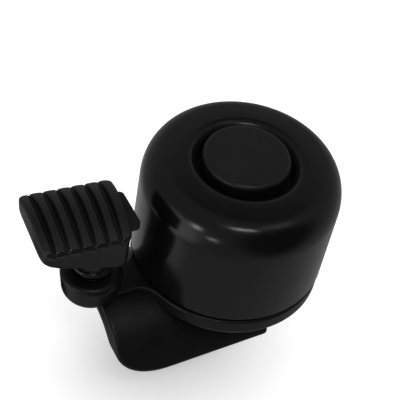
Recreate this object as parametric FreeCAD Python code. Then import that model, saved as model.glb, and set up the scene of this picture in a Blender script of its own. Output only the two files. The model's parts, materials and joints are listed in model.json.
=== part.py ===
import FreeCAD, Part
import math
import os

# Thumb-flick bicycle bell for a 22.2 mm handlebar.
# Frame: origin on the handlebar axis under the dome's axis, +X along the bar,
# +Y away from the rider, +Z up.  Millimetres.

V = FreeCAD.Vector
X_AXIS = V(1, 0, 0)
Y_AXIS = V(0, 1, 0)
Z_AXIS = V(0, 0, 1)

# ---- driving dimensions -------------------------------------------------
BAR_R = 11.1                # handlebar radius
LINER_T = 1.0               # rubber liner in the saddle
SADDLE_T = 1.75             # wall of the saddle
SADDLE_X0 = -26.2           # saddle end under the striker
SADDLE_X1 = 3.9             # saddle end under the dome
SADDLE_Z0 = 2.9             # lower edge of both saddle legs
SADDLE_CORNER = (9.7, 5.8)  # long elliptical corner at the striker end
SADDLE_EDGE_R = 0.8         # softened outer edge of the saddle
SADDLE_CORNER_R = 0.9       # small corner at the dome end

DOME_R = 17.5               # outside radius of the gong
DOME_T = 1.4                # gong wall
DOME_Z0 = 16.0              # rim
DOME_SIDE_H = 15.6          # straight side, from the rim to the shoulder
DOME_TOP = 37.8             # highest ring of the crown
SHOULDER_A = 4.2            # shoulder ellipse, radial half axis
SHOULDER_END = 85.0         # shoulder ellipse ends here, degrees
LIP_R = 1.6                 # soft lip round the centre pocket
POCKET_R = 8.6              # pocket wall radius
POCKET_Z = 33.6             # pocket floor, upper side
POCKET_FILLET = 0.8
DOME_HOLE_R = 2.3

CAP_R = 7.6                 # snap-on cap in the pocket
CAP_TOP = 38.75
CAP_WALL = 0.9
CAP_PLATE = 1.2
CAP_BEVEL = 0.55
CAP_GAP = 0.2               # the skirt stays this far above the pocket's floor
CAP_BEAD_R = 6.25           # inside radius of the bead that grips the retainer

FLANGE_R = 17.4             # round flange under the gong
FLANGE_Z0 = 11.5
FLANGE_Z1 = 15.1
FLANGE_LOW_FILLET = 1.2
FLANGE_TOP_FILLET = 0.4
ARM_HALF = 3.0              # arm from the flange to the striker cup
ARM_X0 = -25.6              # the arm ends inside the cup's wall
ARM_BLEND = 4.0             # plan blend radius between arm and flange

CUP_X = -27.1               # striker cup axis
CUP_R = 5.4                 # outside radius at the mouth
CUP_LOW_R = 5.1             # outside radius where the round bottom starts
CUP_BOTTOM_R = 2.6          # bottom rounding
CUP_LIP_R = 1.1             # soft mouth
CUP_Z0 = 14.3
CUP_Z1 = 20.6
CUP_BORE_R = 3.1
CUP_FLOOR = 15.4

SPRING_WIRE_R = 0.4
SPRING_R = 2.25             # mean coil radius
SPRING_Z0 = 15.8
SPRING_Z1 = 26.2
SPRING_PITCH = 0.86
STUD_R = 1.75               # studs that fill the spring's ends
ANCHOR_TOP = 19.0
ANCHOR_PIN_R = 1.25         # pins that lock the studs in the cup and in the block

BLOCK_X = -30.75            # centre of the thumb pad's top face
BLOCK_YAW = -5.4            # the block sits turned on its spring, degrees
BLOCK_L = 15.4              # mean length
BLOCK_W = 13.7
BLOCK_TAPER = 0.3           # each end stands out this much more at the rear, and less in front
BLOCK_TOP = 35.05           # height of the pad's corners
BLOCK_CROWN = 1.8           # the top rises this much between its front and rear edges
BLOCK_PEAK_Y = 0.8
BLOCK_CORNER_R = 1.6
BLOCK_EDGE_R = 0.4
BLOCK_TIP = 2.0             # thickness of the thin edge at the thumb's end
KEEL_END = 28.6             # underside at the gong's end
KEEL_LOW = (5.0, 28.2)      # lowest point of the underside, along the block and up
KEEL_BEND = (-3.4, 30.55)    # from here the underside curves up to the thin edge
KEEL_RISE = (-6.0, 31.75)
NECK_TOP_R = 3.9
NECK_LOW_R = 3.6
NECK_Z0 = 21.85
NECK_Z1 = 29.6
NECK_BORE_R = 2.75
GROOVES = 6
GROOVE_PITCH = 2.25
GROOVE_WIDTH = 0.95
GROOVE_END_DEPTH = 0.3      # below the top at the front and rear edges
GROOVE_MID_DEPTH = 1.25     # below the crown's peak

PLATE_T = 1.2               # striker plate
PLATE_X1 = -21.3            # its striking edge
PLATE_Y = (-4.6, 3.2)
PLATE_DEPTH = 5.0
PLATE_TOP = 34.5
PLATE_CORNER_R = 0.8

PILLAR_R = 4.0
PILLAR_Z1 = 31.4
ISOLATOR_R = 5.0
ISOLATOR_T = 0.6
RETAINER_R = 6.5            # spring-steel washer that holds the cap
RETAINER_T = 0.7
M4_R = 2.0
M4_HEAD_R = 3.7
M4_HEAD_H = 2.0
THREAD_FIT = 0.03           # clearance of a screw in its thread, radial
M4_HOLE_FIT = 0.1           # clearance of a screw in a plain hole, radial
PILLAR_SCREW_L = 10.0
DOME_SCREW_Z0 = 24.0        # lower end of the gong's screw inside the pillar
HEX_KEY = 2.5               # all three screws take one key
HEX_DEPTH = 1.3
SINK_R = 3.85               # countersink under the flange
SINK_Z = 12.3

CLAMP_X = -1.0              # screw axis
CLAMP_Y = 17.1
CLAMP_TRAVEL = 5.5          # the jaw drops this far to let the bar in
JAW_T = 2.2
JAW_X0 = -11.0
JAW_ANGLES = (97.0, 185.0)  # sector covered by the jaw, degrees from the top towards +Y
JAW_LINER_ANGLES = (101.0, 183.0)
LUG_X0 = -5.6               # lug behind the rear leg, it holds the threaded insert
LUG_Y1 = 20.4
LUG_Z1 = 12.6
LUG_CORNER_R = 2.2
LUG_EDGE_R = 0.6
JAW_EDGE_R = 0.7
JAW_TIP_R = 1.8
EAR_Z0 = -2.4               # ear of the jaw under the lug
EAR_Z1 = 1.0
TONGUE_W = 5.0              # tongue that stops the jaw from turning
TONGUE_T = 1.5
TONGUE_GAP = 0.2
TONGUE_HOLD = 1.0           # the tongue still overlaps the lug this much with the jaw down
M3_R = 1.5
M3_HOLE_FIT = 0.15          # clearance of the clamp screw in plain holes, radial
INSERT_R = 2.3
INSERT_Z0 = 3.2
INSERT_L = 5.0
WASHER_R = 2.9
WASHER_T = 0.6
CLAMP_HEAD_R = 2.75
CLAMP_HEAD_H = 3.0
THREAD_HOLD = 2.2           # thread still in the insert with the jaw down

SADDLE_IN = BAR_R + LINER_T
SADDLE_OUT = SADDLE_IN + SADDLE_T
TONGUE_Z1 = SADDLE_Z0 + CLAMP_TRAVEL + TONGUE_HOLD
CLAMP_SHANK_Z1 = INSERT_Z0 + CLAMP_TRAVEL + THREAD_HOLD


# ---- small helpers --------------------------------------------------------
def turned(profile, centre=V(0, 0, 0)):
    """Solid of revolution about a vertical axis from closed (r, z) edges."""
    face = Part.Face(Part.Wire(profile))
    solid = face.revolve(V(0, 0, 0), Z_AXIS, 360)
    solid.translate(centre)
    return solid


def lines(points, closed=True):
    """Straight edges through (r, z) points in the XZ plane."""
    spots = [V(r, 0, z) for r, z in points]
    if closed:
        spots.append(spots[0])
    return [Part.makeLine(a, b) for a, b in zip(spots, spots[1:])]


def ring(r0, r1, z0, z1, centre=V(0, 0, 0)):
    """Upright tube, or a plain disc when r0 is 0."""
    solid = Part.makeCylinder(r1, z1 - z0, V(0, 0, z0))
    if r0 > 0:
        solid = solid.cut(Part.makeCylinder(r0, z1 - z0, V(0, 0, z0)))
    solid.translate(centre)
    return solid


def arc(a, b, c):
    """Arc edge through three (r, z) points in the XZ plane."""
    return Part.Arc(V(a[0], 0, a[1]), V(b[0], 0, b[1]), V(c[0], 0, c[1])).toShape()


def corner_arc(centre, radius, start, end):
    """Arc about a centre from one angle to another, in the XZ plane, degrees."""
    def spot(angle):
        rad = math.radians(angle)
        return (centre[0] + radius * math.cos(rad), centre[1] + radius * math.sin(rad))
    return arc(spot(start), spot((start + end) / 2), spot(end))


def rounded(solid, radius, wanted):
    """Fillet the edges for which wanted(edge) holds."""
    edges = [e for e in solid.Edges if wanted(e)]
    return solid.makeFillet(radius, edges)


def at_height(z, tol=0.01):
    """Picks edges that lie wholly at one height."""
    def test(edge):
        box = edge.BoundBox
        return abs(box.ZMin - z) < tol and abs(box.ZMax - z) < tol
    return test


def hex_prism(across, z0, height):
    """Upright hexagonal prism, across flats."""
    radius = across / math.sqrt(3)
    spots = [V(radius * math.cos(math.radians(60 * i)),
               radius * math.sin(math.radians(60 * i)), z0) for i in range(7)]
    return Part.Face(Part.makePolygon(spots)).extrude(V(0, 0, height))


def in_block(solid):
    """Take a solid from the block's own frame to its place over the cup."""
    solid.rotate(V(0, 0, 0), Z_AXIS, BLOCK_YAW)
    solid.translate(V(BLOCK_X, 0, 0))
    return solid


# ---- gong and what holds it ------------------------------------------------
def shoulder_numbers():
    """Radial centre, centre height and vertical half axis of the shoulder ellipse."""
    centre_r = DOME_R - SHOULDER_A
    crown_r0 = POCKET_R + LIP_R
    t = math.radians(SHOULDER_END)
    end_r = centre_r + SHOULDER_A * math.cos(t)
    base = DOME_Z0 + DOME_SIDE_H
    b = DOME_TOP - base
    for _ in range(20):
        slope = b * math.cos(t) / (SHOULDER_A * math.sin(t))
        rise = (end_r - crown_r0) * slope / 2
        b = (DOME_TOP - rise - base) / math.sin(t)
    return centre_r, base, b, end_r, rise


def make_dome():
    centre_r, base, b, end_r, rise = shoulder_numbers()
    t1 = math.radians(SHOULDER_END)
    crown_r0 = POCKET_R + LIP_R

    def outer(t):
        return (centre_r + SHOULDER_A * math.cos(t), base + b * math.sin(t))

    ellipse = Part.Ellipse(V(centre_r, 0, base + b), V(centre_r + SHOULDER_A, 0, base),
                           V(centre_r, 0, base))
    first = ellipse.parameter(V(centre_r + SHOULDER_A, 0, base))
    last = ellipse.parameter(V(outer(t1)[0], 0, outer(t1)[1]))
    low, high = min(first, last), max(first, last)
    if high - low > math.pi:
        low, high = high, low + 2 * math.pi
    shoulder = Part.ArcOfEllipse(ellipse, low, high).toShape()
    crown_mid_r = (end_r + crown_r0) / 2
    crown_mid = (crown_mid_r, DOME_TOP - rise / 4)
    lip_centre = (crown_r0, DOME_TOP - LIP_R)
    floor_out = POCKET_R - POCKET_FILLET
    inner_r = DOME_R - DOME_T
    under = POCKET_Z - DOME_T
    inner_top = DOME_TOP - DOME_T
    wall_back = POCKET_R + DOME_T
    edges = [
        Part.makeLine(V(DOME_R, 0, DOME_Z0), V(DOME_R, 0, base)),
        shoulder,
        arc(outer(t1), crown_mid, (crown_r0, DOME_TOP)),
        corner_arc(lip_centre, LIP_R, 90, 180),
        Part.makeLine(V(POCKET_R, 0, DOME_TOP - LIP_R), V(POCKET_R, 0, POCKET_Z + POCKET_FILLET)),
        corner_arc((floor_out, POCKET_Z + POCKET_FILLET), POCKET_FILLET, 0, -90),
    ]
    inner_shoulder = (centre_r, inner_top)
    turn = math.radians(45)
    inner_mid = (centre_r + (SHOULDER_A - DOME_T) * math.cos(turn),
                 base + (inner_top - base) * math.sin(turn))
    inner = [
        (floor_out, POCKET_Z), (DOME_HOLE_R, POCKET_Z), (DOME_HOLE_R, under), (wall_back, under),
        (wall_back, inner_top), inner_shoulder,
    ]
    edges += lines(inner, closed=False)
    curve = Part.BSplineCurve()
    curve.interpolate(Points=[V(inner_shoulder[0], 0, inner_shoulder[1]),
                              V(inner_mid[0], 0, inner_mid[1]),
                              V(inner_r, 0, base)],
                      InitialTangent=V(1, 0, 0), FinalTangent=V(0, 0, -1))
    edges.append(curve.toShape())
    edges += lines([(inner_r, base), (inner_r, DOME_Z0), (DOME_R, DOME_Z0)], closed=False)
    return turned(edges)


def make_centre_cap():
    """Snap-on cap: flat top, short skirt, inner bead that grips the retainer."""
    z0 = POCKET_Z + CAP_GAP
    bead_top = POCKET_Z + 0.25
    inside = CAP_R - CAP_WALL
    under = CAP_TOP - CAP_PLATE
    points = [(0, CAP_TOP), (CAP_R - CAP_BEVEL, CAP_TOP), (CAP_R, CAP_TOP - CAP_BEVEL), (CAP_R, z0),
              (CAP_BEAD_R, z0), (CAP_BEAD_R, bead_top), (inside, bead_top + 0.3), (inside, under),
              (0, under)]
    return turned(lines(points))


def make_gong_stack():
    """Pillar, its screw, the two isolators, the retainer and the gong screw."""
    parts = {}
    pillar = ring(M4_R + THREAD_FIT, PILLAR_R, FLANGE_Z1, PILLAR_Z1)
    parts["pillar"] = rounded(pillar, 0.4, lambda e: at_height(PILLAR_Z1)(e) and e.BoundBox.XMax > 3)
    head_r = SINK_R - 0.05
    head = Part.makeCone(head_r, M4_R, head_r - M4_R, V(0, 0, SINK_Z))
    shank = Part.makeCylinder(M4_R, PILLAR_SCREW_L, V(0, 0, SINK_Z))
    drive = hex_prism(HEX_KEY, SINK_Z, HEX_DEPTH)
    parts["pillar_screw"] = head.fuse(shank).cut(drive).removeSplitter()
    hole_r = M4_R + M4_HOLE_FIT
    retainer_z = POCKET_Z + ISOLATOR_T
    head_z = retainer_z + RETAINER_T
    parts["lower_isolator"] = ring(hole_r, ISOLATOR_R, PILLAR_Z1, POCKET_Z - DOME_T)
    parts["upper_isolator"] = ring(hole_r, ISOLATOR_R, POCKET_Z, retainer_z)
    parts["cap_retainer"] = ring(hole_r, RETAINER_R, retainer_z, head_z)
    head = Part.makeCylinder(M4_HEAD_R, M4_HEAD_H, V(0, 0, head_z))
    head = rounded(head, 0.7, at_height(head_z + M4_HEAD_H))
    shank = Part.makeCylinder(M4_R, head_z - DOME_SCREW_Z0, V(0, 0, DOME_SCREW_Z0))
    drive = hex_prism(HEX_KEY, head_z + M4_HEAD_H - HEX_DEPTH, HEX_DEPTH)
    parts["dome_screw"] = head.fuse(shank).cut(drive).removeSplitter()
    return parts


# ---- base -------------------------------------------------------------------
def plan_plate():
    """Flange and arm as one plate with blended sides."""
    reach = math.sqrt((FLANGE_R + ARM_BLEND) ** 2 - (ARM_HALF + ARM_BLEND) ** 2)
    centre = V(-reach, ARM_HALF + ARM_BLEND, 0)
    share = FLANGE_R / (FLANGE_R + ARM_BLEND)
    touch = V(centre.x * share, centre.y * share, 0)
    arm_spot = V(-reach, ARM_HALF, 0)
    to_touch = (touch - centre).normalize()
    to_arm = (arm_spot - centre).normalize()
    middle = centre + (to_touch + to_arm).normalize() * ARM_BLEND

    def flipped(spot):
        return V(spot.x, -spot.y, 0)

    end = V(ARM_X0, ARM_HALF, 0)
    edges = [
        Part.Arc(flipped(touch), V(FLANGE_R, 0, 0), touch).toShape(),
        Part.Arc(touch, middle, arm_spot).toShape(),
        Part.makeLine(arm_spot, end),
        Part.makeLine(end, flipped(end)),
        Part.makeLine(flipped(end), flipped(arm_spot)),
        Part.Arc(flipped(arm_spot), flipped(middle), flipped(touch)).toShape(),
    ]
    plate = Part.Face(Part.Wire(edges)).extrude(V(0, 0, FLANGE_Z1 - FLANGE_Z0))
    plate.translate(V(0, 0, FLANGE_Z0))
    plate = rounded(plate, FLANGE_LOW_FILLET,
                    lambda e: at_height(FLANGE_Z0)(e) and e.BoundBox.XMax > ARM_X0 + 0.1)
    return rounded(plate, FLANGE_TOP_FILLET,
                   lambda e: at_height(FLANGE_Z1)(e) and e.BoundBox.XMax > ARM_X0 + 0.1)


def make_cup():
    """Striker cup: round bottom, slightly flared wall, soft mouth."""
    corner = (CUP_LOW_R - CUP_BOTTOM_R, CUP_Z0 + CUP_BOTTOM_R)
    mouth = (CUP_R - CUP_LIP_R, CUP_Z1 - CUP_LIP_R)
    edges = [
        Part.makeLine(V(0, 0, CUP_Z0), V(corner[0], 0, CUP_Z0)),
        corner_arc(corner, CUP_BOTTOM_R, -90, 0),
        Part.makeLine(V(CUP_LOW_R, 0, corner[1]), V(CUP_R, 0, mouth[1])),
        corner_arc(mouth, CUP_LIP_R, 0, 90),
    ]
    edges += lines([(mouth[0], CUP_Z1), (0, CUP_Z1), (0, CUP_Z0)], closed=False)
    return turned(edges, V(CUP_X, 0, 0))


def saddle_window():
    """Side outline of the saddle as a prism along Y."""
    a, b = SADDLE_CORNER
    top = 20.0
    r = SADDLE_CORNER_R
    ex, ez = SADDLE_X0 + a, SADDLE_Z0 + b
    ellipse = Part.Ellipse(V(ex - a, 0, ez), V(ex, 0, ez - b), V(ex, 0, ez))
    p0 = ellipse.parameter(V(ex - a, 0, ez))
    p1 = ellipse.parameter(V(ex, 0, ez - b))
    low, high = min(p0, p1), max(p0, p1)
    if high - low > math.pi:
        low, high = high, low + 2 * math.pi
    edges = [
        Part.makeLine(V(SADDLE_X0, 0, top), V(SADDLE_X0, 0, ez)),
        Part.ArcOfEllipse(ellipse, low, high).toShape(),
        Part.makeLine(V(ex, 0, SADDLE_Z0), V(SADDLE_X1 - r, 0, SADDLE_Z0)),
        corner_arc((SADDLE_X1 - r, SADDLE_Z0 + r), r, -90, 0),
        Part.makeLine(V(SADDLE_X1, 0, SADDLE_Z0 + r), V(SADDLE_X1, 0, top)),
        Part.makeLine(V(SADDLE_X1, 0, top), V(SADDLE_X0, 0, top)),
    ]
    prism = Part.Face(Part.Wire(edges)).extrude(V(0, 40, 0))
    prism.translate(V(0, -20, 0))
    return prism


def half_pipe(r0, r1):
    """Length of pipe round the bar, long enough for the whole saddle."""
    length = SADDLE_X1 - SADDLE_X0
    start = V(SADDLE_X0, 0, 0)
    return Part.makeCylinder(r1, length, start, X_AXIS).cut(
        Part.makeCylinder(r0, length, start, X_AXIS))


def make_lug():
    """Lug behind the rear leg: it hangs from the flange and holds the threaded insert."""
    width = SADDLE_X1 - LUG_X0
    depth = LUG_Y1 - BAR_R
    lug = Part.makeBox(width, depth, LUG_Z1 - SADDLE_Z0, V(LUG_X0, BAR_R, SADDLE_Z0))

    def rear_upright(edge):
        box = edge.BoundBox
        return box.YMin > LUG_Y1 - 0.01 and box.ZLength > 1

    lug = rounded(lug, LUG_CORNER_R, rear_upright)

    def rear_bottom(edge):
        return at_height(SADDLE_Z0)(edge) and edge.BoundBox.YMax > LUG_Y1 - LUG_CORNER_R - 0.1

    return rounded(lug, LUG_EDGE_R, rear_bottom)


def on_round(radius):
    """Picks edges whose middle lies this far from the bar's axis."""
    def test(edge):
        middle = edge.valueAt((edge.FirstParameter + edge.LastParameter) / 2)
        return abs(math.hypot(middle.y, middle.z) - radius) < 0.02
    return test


def make_saddle():
    """Half pipe over the bar, cut to its side outline, with softened outer edges."""
    saddle = half_pipe(SADDLE_IN, SADDLE_OUT).common(saddle_window())

    def outer_low(edge):
        box = edge.BoundBox
        return on_round(SADDLE_OUT)(edge) and box.ZMin < SADDLE_Z0 + 4 and box.XLength + box.ZLength > 0.5

    return rounded(saddle, SADDLE_EDGE_R, outer_low)


def make_base():
    body = plan_plate().fuse([make_cup(), make_saddle(), make_lug()])
    bar_space = Part.makeCylinder(SADDLE_IN, SADDLE_X1 - SADDLE_X0, V(SADDLE_X0, 0, 0), X_AXIS)
    body = body.cut(bar_space)
    clamp = V(CLAMP_X, CLAMP_Y, 0)
    tools = [
        Part.makeCylinder(M4_R + M4_HOLE_FIT, 10, V(0, 0, 8)),
        Part.makeCylinder(SINK_R, SINK_Z - 8, V(0, 0, 8)),
        Part.makeCone(SINK_R, M4_R + 0.05, SINK_R - M4_R - 0.05, V(0, 0, SINK_Z)),
        ring(0, CUP_BORE_R, CUP_FLOOR, CUP_Z1 + 1, V(CUP_X, 0, 0)),
        ring(0, ANCHOR_PIN_R, CUP_Z0 - 1, CUP_FLOOR, V(CUP_X, 0, 0)),
        ring(0, INSERT_R, SADDLE_Z0 - 1, INSERT_Z0 + INSERT_L, clamp),
        ring(0, M3_R + M3_HOLE_FIT, SADDLE_Z0, CLAMP_SHANK_Z1 + 0.5, clamp),
    ]
    return body.cut(tools).removeSplitter()


def make_liner():
    """Rubber liner inside the saddle, trimmed to the same side outline."""
    return half_pipe(BAR_R, SADDLE_IN).common(saddle_window())


# ---- striker -----------------------------------------------------------------
def block_side():
    """Side outline of the block below its crowned top: keel-like underside."""
    half = BLOCK_L / 2 + BLOCK_TAPER
    high = BLOCK_TOP + BLOCK_CROWN + 1
    tip = BLOCK_TOP - BLOCK_TIP
    low = V(KEEL_LOW[0], 0, KEEL_LOW[1])
    return [
        Part.makeLine(V(-half, 0, high), V(half, 0, high)),
        Part.makeLine(V(half, 0, high), V(half, 0, KEEL_END)),
        Part.makeLine(V(half, 0, KEEL_END), low),
        Part.makeLine(low, V(KEEL_BEND[0], 0, KEEL_BEND[1])),
        arc(KEEL_BEND, KEEL_RISE, (-half, tip)),
        Part.makeLine(V(-half, 0, tip), V(-half, 0, high)),
    ]


def block_plan():
    """Upright prism with the block's plan outline, a little longer at the rear than in front."""
    rear = BLOCK_L / 2 + BLOCK_TAPER
    front = BLOCK_L / 2 - BLOCK_TAPER
    y = BLOCK_W / 2
    low = V(0, 0, NECK_Z0)
    spots = [low + V(-front, -y, 0), low + V(front, -y, 0), low + V(rear, y, 0), low + V(-rear, y, 0)]
    return Part.Face(Part.makePolygon(spots + spots[:1])).extrude(V(0, 0, 20))


def under_crown(end_drop, mid_drop, x0, x1):
    """Prism below an arc from the front edge over the crown's peak to the rear edge."""
    half = BLOCK_W / 2
    front = V(x0, -half, BLOCK_TOP - end_drop)
    peak = V(x0, BLOCK_PEAK_Y, BLOCK_TOP + BLOCK_CROWN - mid_drop)
    rear = V(x0, half, BLOCK_TOP - end_drop)
    crown = Part.Arc(front, peak, rear)
    low = BLOCK_TOP - 10
    edges = [
        crown.toShape(),
        Part.makeLine(rear, V(x0, half, low)),
        Part.makeLine(V(x0, half, low), V(x0, -half, low)),
        Part.makeLine(V(x0, -half, low), front),
    ]
    return Part.Face(Part.Wire(edges)).extrude(V(x1 - x0, 0, 0))


def groove_cutter(u0):
    """Slot across the top; its floor is flatter than the crown, so it is deepest in the middle."""
    slab = Part.makeBox(GROOVE_WIDTH, BLOCK_W, 8, V(u0, -BLOCK_W / 2, BLOCK_TOP - 3))
    return slab.cut(under_crown(GROOVE_END_DEPTH, GROOVE_MID_DEPTH, u0 - 1, u0 + GROOVE_WIDTH + 1))


def make_striker_block():
    half = BLOCK_L / 2 + BLOCK_TAPER
    body = Part.Face(Part.Wire(block_side())).extrude(V(0, BLOCK_W, 0))
    body.translate(V(0, -BLOCK_W / 2, 0))
    body = body.common(block_plan())

    def upright(edge):
        box = edge.BoundBox
        return box.ZLength > 0.5 and box.XLength < 0.01 and box.YLength < 0.01

    body = rounded(body, BLOCK_CORNER_R, upright)
    body = body.common(under_crown(0, 0, -half - 1, half + 1))
    body = rounded(body, BLOCK_EDGE_R, lambda e: e.BoundBox.ZMin > BLOCK_TOP - 0.05)
    first = -GROOVE_PITCH * (GROOVES - 1) / 2 - GROOVE_WIDTH / 2
    cutters = [groove_cutter(first + i * GROOVE_PITCH) for i in range(GROOVES)]
    body = in_block(body.cut(cutters))
    neck = Part.makeCone(NECK_LOW_R, NECK_TOP_R, NECK_Z1 - NECK_Z0, V(CUP_X, 0, NECK_Z0))
    body = body.fuse(neck)
    bore = ring(0, NECK_BORE_R, NECK_Z0 - 1, SPRING_Z1 + 0.4, V(CUP_X, 0, 0))
    pin_hole = ring(0, ANCHOR_PIN_R, SPRING_Z1, SPRING_Z1 + 2.9, V(CUP_X, 0, 0))
    return body.cut([bore, pin_hole, make_striker_plate()]).removeSplitter()


def make_striker_plate():
    """Steel plate let into the block; its rounded edge meets the gong."""
    y0, y1 = PLATE_Y
    plate = Part.makeBox(PLATE_DEPTH, y1 - y0, PLATE_T,
                         V(PLATE_X1 - PLATE_DEPTH, y0, PLATE_TOP - PLATE_T))

    def outer_corner(edge):
        box = edge.BoundBox
        return box.XMin > PLATE_X1 - 0.01 and box.ZLength > PLATE_T / 2

    return rounded(plate, PLATE_CORNER_R, outer_corner)


def make_spring():
    """Close-wound coil spring, the bending stem of the striker."""
    height = SPRING_Z1 - SPRING_Z0
    helix = Part.makeHelix(SPRING_PITCH, height, SPRING_R)
    section = Part.Wire(Part.makeCircle(SPRING_WIRE_R, V(SPRING_R, 0, 0), Y_AXIS))
    coil = Part.Wire(helix).makePipeShell([section], True, True)
    coil.translate(V(CUP_X, 0, SPRING_Z0))
    return coil


def make_striker_studs():
    anchor = ring(0, ANCHOR_PIN_R, CUP_Z0 + 0.2, CUP_FLOOR, V(CUP_X, 0, 0))
    anchor = anchor.fuse(ring(0, STUD_R, CUP_FLOOR, ANCHOR_TOP, V(CUP_X, 0, 0)))
    stud = ring(0, ANCHOR_PIN_R, SPRING_Z1, SPRING_Z1 + 2.8, V(CUP_X, 0, 0))
    stud = stud.fuse(ring(0, STUD_R, NECK_Z0 + 0.6, SPRING_Z1, V(CUP_X, 0, 0)))
    return {"spring_anchor": anchor.removeSplitter(), "striker_stud": stud.removeSplitter()}


# ---- clamp --------------------------------------------------------------------
def sector(r0, r1, x0, x1, angles):
    """Piece of a pipe round the bar; angles run from the top towards +Y."""
    start, end = (math.radians(a) for a in angles)

    def spot(radius, angle):
        return V(x0, radius * math.sin(angle), radius * math.cos(angle))

    middle = (start + end) / 2
    edges = [
        Part.Arc(spot(r1, start), spot(r1, middle), spot(r1, end)).toShape(),
        Part.makeLine(spot(r1, end), spot(r0, end)),
        Part.Arc(spot(r0, end), spot(r0, middle), spot(r0, start)).toShape(),
        Part.makeLine(spot(r0, start), spot(r1, start)),
    ]
    return Part.Face(Part.Wire(edges)).extrude(V(x1 - x0, 0, 0))


def make_lower_jaw():
    """Quarter ring under the rear of the bar, with the screw's ear and a guide tongue."""
    quarter = sector(SADDLE_IN, SADDLE_IN + JAW_T, JAW_X0, SADDLE_X1, JAW_ANGLES)
    tip_angle = math.radians(JAW_ANGLES[1])

    def tip_corner(edge):
        box = edge.BoundBox
        low = (SADDLE_IN + JAW_T) * math.cos(tip_angle)
        return box.YMax < 0 and box.ZMin < low + JAW_T and box.ZLength > 1 and box.XLength < 0.01

    quarter = rounded(quarter, JAW_TIP_R, tip_corner)
    quarter = rounded(quarter, JAW_EDGE_R,
                      lambda e: on_round(SADDLE_IN + JAW_T)(e) and e.BoundBox.XLength < 0.01)
    depth = LUG_Y1 - SADDLE_IN
    ear = Part.makeBox(SADDLE_X1 - LUG_X0, depth, EAR_Z1 - EAR_Z0, V(LUG_X0, SADDLE_IN, EAR_Z0))

    def rear_upright(edge):
        box = edge.BoundBox
        return box.YMin > LUG_Y1 - 0.01 and box.ZLength > 1

    ear = rounded(ear, LUG_CORNER_R, rear_upright)
    tongue_y0 = LUG_Y1 + TONGUE_GAP
    foot = Part.makeBox(TONGUE_W, TONGUE_T + 1.0, EAR_Z1 - EAR_Z0,
                        V(CLAMP_X - TONGUE_W / 2, tongue_y0 - 1.0, EAR_Z0))
    tongue = Part.makeBox(TONGUE_W, TONGUE_T, TONGUE_Z1 - EAR_Z0,
                          V(CLAMP_X - TONGUE_W / 2, tongue_y0, EAR_Z0))
    jaw = quarter.fuse([ear, foot, tongue]).removeSplitter()

    def tongue_end(edge):
        box = edge.BoundBox
        return box.ZMin > TONGUE_Z1 - 0.01 and box.XLength > 1

    jaw = rounded(jaw, 0.5, tongue_end)
    hole = ring(0, M3_R + M3_HOLE_FIT, EAR_Z0 - 1, EAR_Z1 + 1, V(CLAMP_X, CLAMP_Y, 0))
    bar_space = Part.makeCylinder(SADDLE_IN, 40, V(-20, 0, 0), X_AXIS)
    return jaw.cut([hole, bar_space])


def make_clamp():
    """Jaw, its liner, the insert in the lug, the screw and its washer, closed on the bar."""
    axis = V(CLAMP_X, CLAMP_Y, 0)
    washer_z0 = EAR_Z0 - WASHER_T
    head_z0 = washer_z0 - CLAMP_HEAD_H
    head = ring(0, CLAMP_HEAD_R, head_z0, washer_z0, axis)
    head = rounded(head, 0.35, at_height(head_z0))
    shank = ring(0, M3_R, washer_z0, CLAMP_SHANK_Z1, axis)
    drive = hex_prism(HEX_KEY, head_z0, HEX_DEPTH)
    drive.translate(axis)
    return {
        "lower_jaw": make_lower_jaw(),
        "jaw_liner": sector(BAR_R, SADDLE_IN, JAW_X0, SADDLE_X1, JAW_LINER_ANGLES),
        "clamp_nut": ring(M3_R + THREAD_FIT, INSERT_R, INSERT_Z0, INSERT_Z0 + INSERT_L, axis),
        "clamp_washer": ring(M3_R + M3_HOLE_FIT, WASHER_R, washer_z0, EAR_Z0, axis),
        "clamp_screw": head.fuse(shank).cut(drive).removeSplitter(),
    }


# ---- all sub-parts ---------------------------------------------------------------
def build():
    parts = {
        "base": make_base(),
        "saddle_liner": make_liner(),
        "dome": make_dome(),
        "centre_cap": make_centre_cap(),
        "striker_block": make_striker_block(),
        "striker_plate": make_striker_plate(),
        "striker_spring": make_spring(),
    }
    parts.update(make_gong_stack())
    parts.update(make_striker_studs())
    parts.update(make_clamp())
    return parts


os.makedirs("parts", exist_ok=True)
for name, shape in build().items():
    solid_count = len(shape.Solids)
    if solid_count != 1 or not shape.isValid():
        print("check", name, "solids", solid_count, "valid", shape.isValid())
    shape.exportStep("parts/" + name + ".step")
    print(name, round(shape.Volume, 1), [round(v, 2) for v in (
        shape.BoundBox.XMin, shape.BoundBox.YMin, shape.BoundBox.ZMin,
        shape.BoundBox.XMax, shape.BoundBox.YMax, shape.BoundBox.ZMax)])
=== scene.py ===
import json
import math

import bmesh
import bpy
from mathutils import Matrix, Vector


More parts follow.
